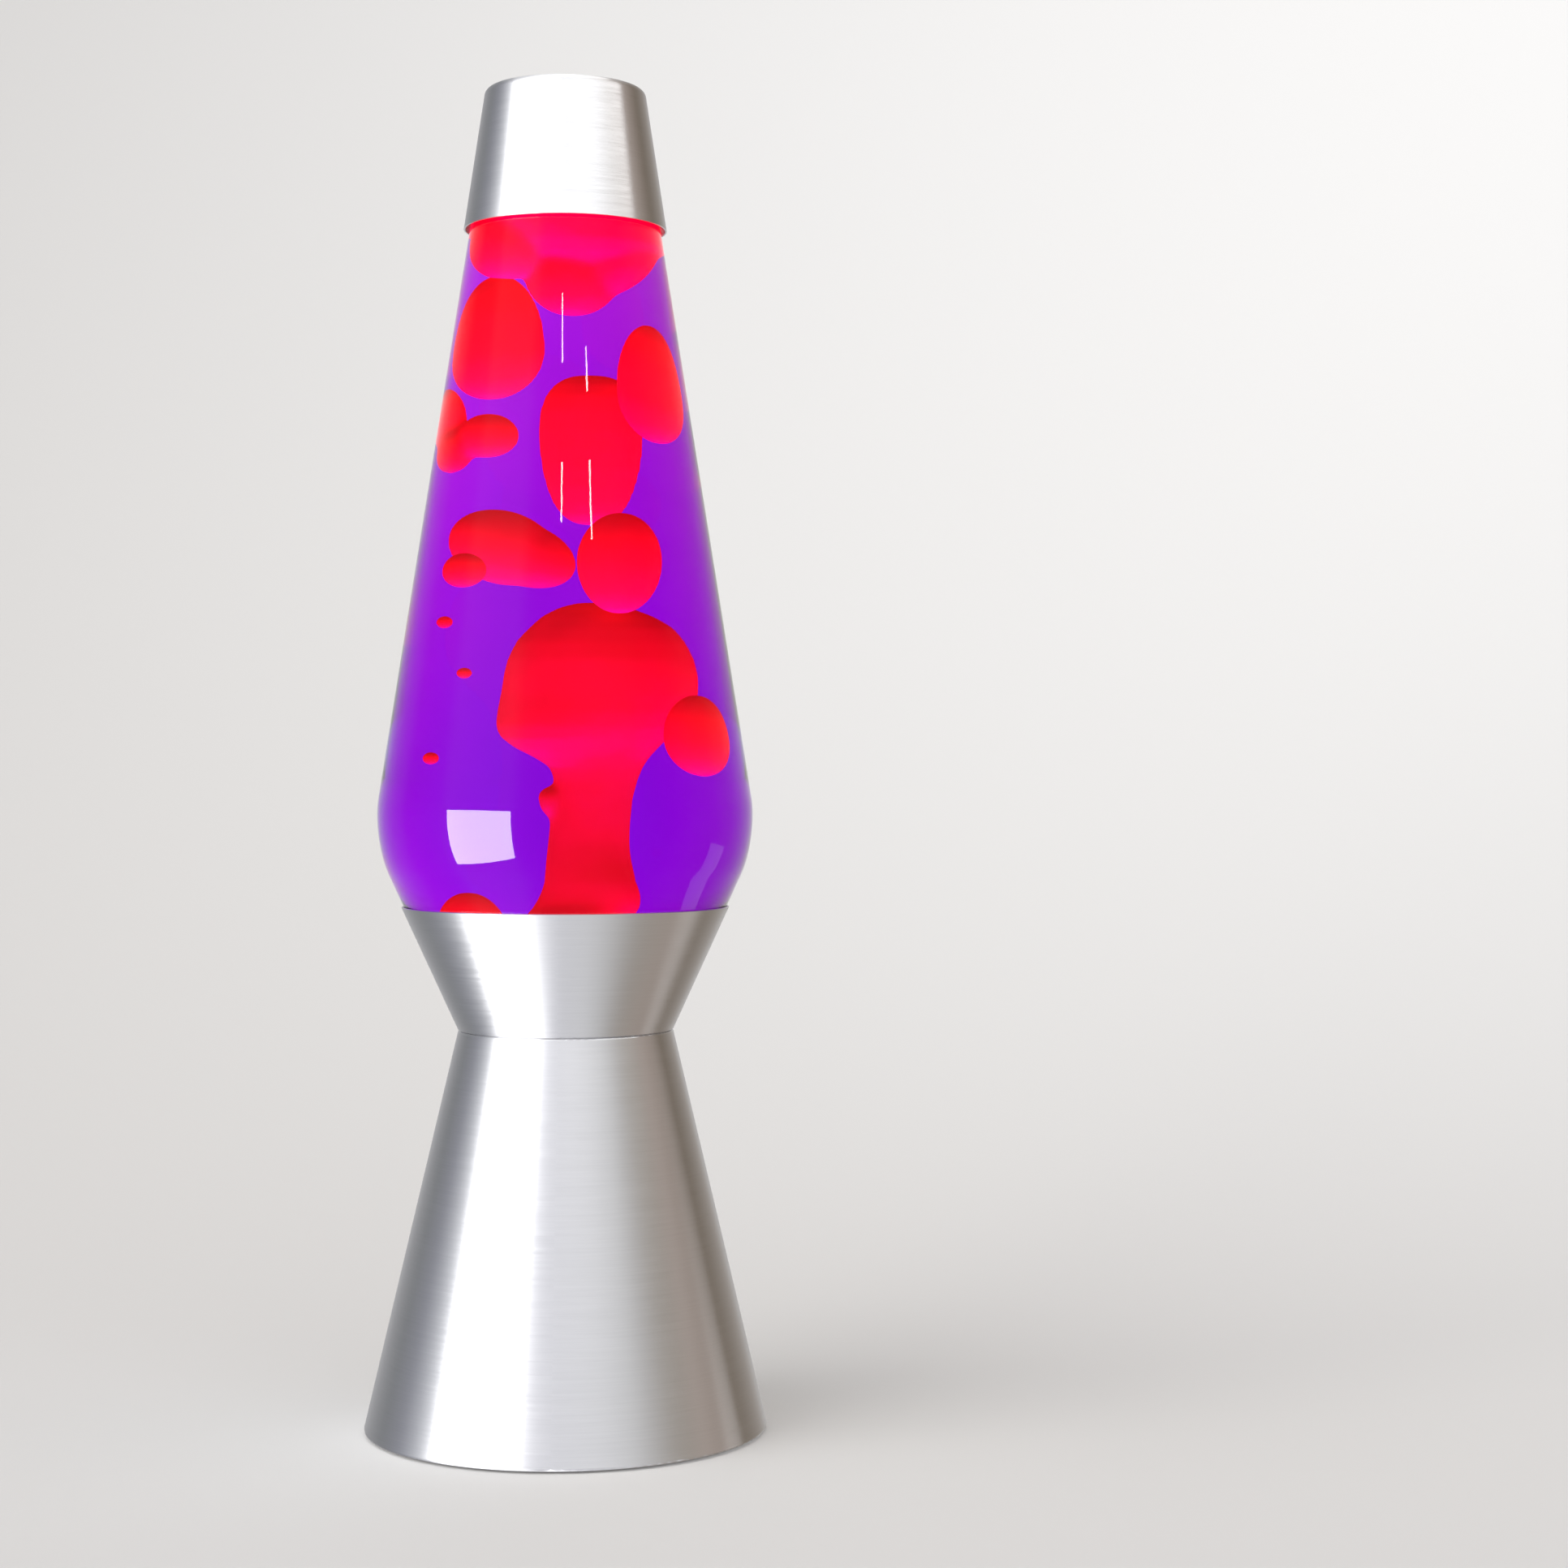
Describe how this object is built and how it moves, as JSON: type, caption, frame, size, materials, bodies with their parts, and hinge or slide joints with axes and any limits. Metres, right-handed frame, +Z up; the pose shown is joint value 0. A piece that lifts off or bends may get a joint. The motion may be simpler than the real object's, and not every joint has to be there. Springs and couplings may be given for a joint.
{
  "type": "lava lamp",
  "caption": "Tall lava lamp: spun aluminium hourglass stand and cap, with a sealed glass globe of violet liquid and red wax warmed by a screw-in bulb.",
  "frame": {"origin": "middle of the footprint, on the surface the lamp stands on", "axes": "+Z up along the lamp's axis; -Y is the front; the cord grommet is at the back, +Y"},
  "size_m": [0.2058, 0.2058, 0.6858],
  "materials": {
    "spun_aluminium": "satin, brushed round the axis",
    "lid_metal": "lacquered tinplate",
    "lid_liner": "soft sealing disc",
    "black_rubber": "matt",
    "black_plastic": "moulded, fine grain",
    "zinc_steel": "zinc plated",
    "black_phenolic": "moulded phenolic",
    "brass": "plain",
    "bulb_glass": "clear, thin",
    "bulb_cap_metal": "nickelled",
    "solder": "dull",
    "black_glass": "glossy",
    "tungsten": "bare wire",
    "globe_glass": "clear, polished",
    "coil_steel": "plain spring wire",
    "tinted_liquid": "clear violet liquid",
    "red_wax": "translucent red wax, lit from below"
  },
  "bodies": {
    "base": {"base_cone": "spun_aluminium", "cord_grommet": "black_rubber", "base_cup": "spun_aluminium", "bottom_plate": "black_plastic", "plate_screws": "zinc_steel", "rubber_foot_1": "black_rubber", "rubber_foot_2": "black_rubber", "rubber_foot_3": "black_rubber", "rubber_foot_4": "black_rubber", "socket_bracket": "zinc_steel", "waist_screws": "zinc_steel", "waist_lock_washers": "zinc_steel", "waist_nuts": "zinc_steel", "socket_body": "black_phenolic", "socket_terminal_screws": "brass", "socket_screw_shell": "brass", "socket_centre_contact": "brass", "mounting_nipple": "brass", "nipple_lock_washer": "zinc_steel", "nipple_locknut": "zinc_steel"},
    "globe": {"globe_bottle": "globe_glass", "globe_lid": "lid_metal", "globe_lid_liner": "lid_liner", "heat_coil": "coil_steel", "lamp_liquid": "tinted_liquid", "wax_pool_and_column": "red_wax", "wax_at_top": "red_wax", "wax_drop_high_left": "red_wax", "wax_drop_left_wall": "red_wax", "wax_drop_left": "red_wax", "wax_drop_middle_left": "red_wax", "wax_drop_small_left": "red_wax", "wax_bead_1": "red_wax", "wax_bead_2": "red_wax", "wax_bead_3": "red_wax"},
    "cap": {"cap_shell": "spun_aluminium"},
    "bulb_foot": {"bulb_tip_contact": "solder"},
    "bulb": {"bulb_insulator": "black_glass", "bulb_screw_cap": "bulb_cap_metal", "bulb_envelope": "bulb_glass", "bulb_stem": "bulb_glass", "bulb_filament": "tungsten"},
    "drop_high_right": {"wax_drop_high_right": "red_wax"},
    "drop_centre": {"wax_drop_centre": "red_wax"},
    "drop_middle_right": {"wax_drop_middle_right": "red_wax"},
    "drop_low_right": {"wax_drop_low_right": "red_wax"}
  },
  "joints": [
    {"name": "globe_lift", "type": "slide", "parent": "base", "child": "globe", "axis": [0, 0, 1], "range_m": [0, 0.08]},
    {"name": "cap_lift", "type": "slide", "parent": "globe", "child": "cap", "axis": [0, 0, 1], "range_m": [0, 0.08]},
    {"name": "bulb_thread", "type": "slide", "parent": "base", "child": "bulb_foot", "axis": [0, 0, 1], "range_m": [0, 0.01452]},
    {"name": "bulb_turn", "type": "hinge", "parent": "bulb_foot", "child": "bulb", "pos_m": [0, 0, 0.09], "axis": [0, 0, 1], "range_deg": [0, 1440]},
    {"name": "drop_high_right_rise", "type": "slide", "parent": "globe", "child": "drop_high_right", "axis": [0, 0, 1], "range_m": [0, 0.012], "deforming": ["lamp_liquid"]},
    {"name": "drop_centre_rise", "type": "slide", "parent": "globe", "child": "drop_centre", "axis": [0, 0, 1], "range_m": [0, 0.025], "deforming": ["lamp_liquid"]},
    {"name": "drop_middle_right_rise", "type": "slide", "parent": "globe", "child": "drop_middle_right", "axis": [0, 0, 1], "range_m": [0, 0.02], "deforming": ["lamp_liquid"]},
    {"name": "drop_low_right_rise", "type": "slide", "parent": "globe", "child": "drop_low_right", "axis": [0, 0, 1], "range_m": [0, 0.02], "deforming": ["lamp_liquid"]}
  ],
  "couplings": [
    {"joint": "bulb_thread", "follows": "bulb_turn", "m_per_rad": 0.0005776}
  ]
}
